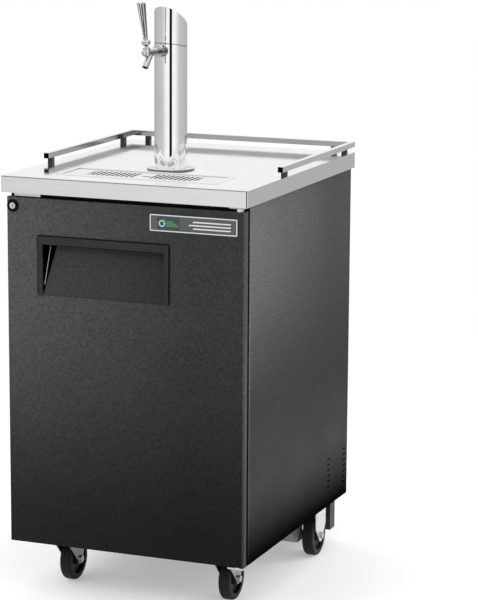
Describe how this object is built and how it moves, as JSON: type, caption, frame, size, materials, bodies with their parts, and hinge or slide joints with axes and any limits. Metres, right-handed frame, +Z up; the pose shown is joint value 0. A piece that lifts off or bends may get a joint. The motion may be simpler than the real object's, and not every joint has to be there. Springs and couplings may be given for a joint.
{
  "type": "kegerator",
  "caption": "Single-tap beer keg cooler on casters: foamed cabinet with hinged door, steel worktop with drip tray and gallery rail, and a chrome draft tower.",
  "frame": {"origin": "on the floor, under the middle of the overall box", "axes": "+Z up, +X to the right of someone facing the door, -Y out of the door"},
  "size_m": [0.606, 0.72, 1.3877],
  "materials": {
    "vinyl": "matte",
    "steel_frame": "satin",
    "foam": "matte",
    "liner": "satin",
    "stainless": "satin",
    "wood_core": "matte",
    "chrome": "polished",
    "gasket": "matte",
    "white_plastic": "satin",
    "hinge_steel": "satin",
    "black_plastic": "satin",
    "black_steel": "satin",
    "coil": "satin",
    "front_tyre": "matte",
    "rear_tyre": "matte"
  },
  "bodies": {
    "cabinet": {"cabinet_shell": "vinyl", "base_frame": "steel_frame", "insulation": "foam", "liner": "liner", "countertop": "stainless", "counter_core": "wood_core", "drip_pan": "stainless", "gallery_rail": "stainless", "rail_legs": "stainless", "tower_flange": "chrome", "tower_screws": "stainless", "tower_column": "chrome", "tap_shank": "chrome", "coupling_nut": "chrome", "faucet_body": "chrome", "faucet_bonnet": "chrome", "hinge_brackets": "hinge_steel", "lock_keeper": "steel_frame", "base_pan": "steel_frame", "rear_cover": "black_steel", "cord_gland": "gasket", "gas_port_sleeve": "white_plastic", "compressor": "black_steel", "condenser": "black_steel", "fan_motor": "black_steel", "evaporator_housing": "white_plastic", "evaporator_coil": "coil", "front_caster_plates": "steel_frame", "rear_forks": "steel_frame", "rear_axles": "hinge_steel"},
    "door": {"door_skin": "vinyl", "door_liner": "liner", "door_foam": "foam", "door_gasket": "gasket", "door_bushes": "white_plastic", "handle_trim": "black_plastic", "handle_pocket": "vinyl", "badge_frame": "chrome", "badge_panel": "black_plastic", "lock_barrel": "chrome"},
    "lock_cam": {"lock_plug": "chrome"},
    "tap_handle": {"tap_lever": "chrome", "lever_ferrule": "chrome", "tap_handle": "chrome"},
    "tap_shaft": {"tap_shaft": "chrome"},
    "tower_cap": {"tower_cap": "chrome"},
    "drip_grid": {"drip_grid": "stainless"},
    "front_caster_left": {"front_fork_left": "steel_frame", "front_axle_left": "hinge_steel"},
    "front_caster_right": {"front_fork_right": "steel_frame", "front_axle_right": "hinge_steel"},
    "brake_left": {"brake_pedal_left": "steel_frame"},
    "brake_right": {"brake_pedal_right": "steel_frame"},
    "front_wheel_left": {"wheel_front_left": "front_tyre"},
    "front_wheel_right": {"wheel_front_right": "front_tyre"},
    "rear_wheel_left": {"wheel_rear_left": "rear_tyre"},
    "rear_wheel_right": {"wheel_rear_right": "rear_tyre"},
    "condenser_fan": {"condenser_fan": "black_plastic"},
    "evaporator_fan": {"evaporator_fan": "black_plastic"},
    "thermostat_knob": {"thermostat_knob": "black_plastic"}
  },
  "joints": [
    {"name": "door_hinge", "type": "hinge", "parent": "cabinet", "child": "door", "pos_m": [0.279, -0.342, 0.5], "axis": [0, 0, 1], "range_deg": [0, 120]},
    {"name": "lock_turn", "type": "hinge", "parent": "door", "child": "lock_cam", "pos_m": [-0.278, -0.34, 0.923], "axis": [0, -1, 0], "range_deg": [0, 90]},
    {"name": "tap_lever_pull", "type": "hinge", "parent": "cabinet", "child": "tap_handle", "pos_m": [-0.00937, -0.20036, 1.281], "axis": [0.989, -0.1478, 0], "range_deg": [0, 36]},
    {"name": "tap_shaft_slide", "type": "slide", "parent": "cabinet", "child": "tap_shaft", "axis": [0.1478, 0.989, 0], "range_m": [0, 0.005]},
    {"name": "tower_cap_lift", "type": "slide", "parent": "cabinet", "child": "tower_cap", "axis": [0, 0, 1], "range_m": [0, 0.04]},
    {"name": "drip_grid_lift", "type": "slide", "parent": "cabinet", "child": "drip_grid", "axis": [0, 0, 1], "range_m": [0, 0.03]},
    {"name": "front_swivel_left", "type": "hinge", "parent": "cabinet", "child": "front_caster_left", "pos_m": [-0.204, -0.232, 0.1], "axis": [0, 0, 1], "continuous": true},
    {"name": "front_wheel_spin_left", "type": "hinge", "parent": "front_caster_left", "child": "front_wheel_left", "pos_m": [-0.204, -0.197, 0.051], "axis": [1, 0, 0], "continuous": true},
    {"name": "brake_press_left", "type": "hinge", "parent": "front_caster_left", "child": "brake_left", "pos_m": [-0.204, -0.18, 0.097], "axis": [-1, 0, 0], "range_deg": [0, 10]},
    {"name": "rear_wheel_spin_left", "type": "hinge", "parent": "cabinet", "child": "rear_wheel_left", "pos_m": [-0.26, 0.212, 0.051], "axis": [1, 0, 0], "continuous": true},
    {"name": "front_swivel_right", "type": "hinge", "parent": "cabinet", "child": "front_caster_right", "pos_m": [0.204, -0.232, 0.1], "axis": [0, 0, 1], "continuous": true},
    {"name": "front_wheel_spin_right", "type": "hinge", "parent": "front_caster_right", "child": "front_wheel_right", "pos_m": [0.204, -0.197, 0.051], "axis": [1, 0, 0], "continuous": true},
    {"name": "brake_press_right", "type": "hinge", "parent": "front_caster_right", "child": "brake_right", "pos_m": [0.204, -0.18, 0.097], "axis": [-1, 0, 0], "range_deg": [0, 10]},
    {"name": "rear_wheel_spin_right", "type": "hinge", "parent": "cabinet", "child": "rear_wheel_right", "pos_m": [0.26, 0.212, 0.051], "axis": [1, 0, 0], "continuous": true},
    {"name": "condenser_fan_spin", "type": "hinge", "parent": "cabinet", "child": "condenser_fan", "pos_m": [0.118, 0.23, 0.132], "axis": [0, 1, 0], "continuous": true},
    {"name": "evaporator_fan_spin", "type": "hinge", "parent": "cabinet", "child": "evaporator_fan", "pos_m": [-0.045, 0.228, 0.81], "axis": [0, 1, 0], "continuous": true},
    {"name": "thermostat_turn", "type": "hinge", "parent": "cabinet", "child": "thermostat_knob", "pos_m": [0.112, 0.2, 0.756], "axis": [0, 1, 0], "range_deg": [0, 270]}
  ],
  "couplings": [
    {"joint": "tap_shaft_slide", "follows": "tap_lever_pull", "m_per_rad": 0.00764}
  ]
}
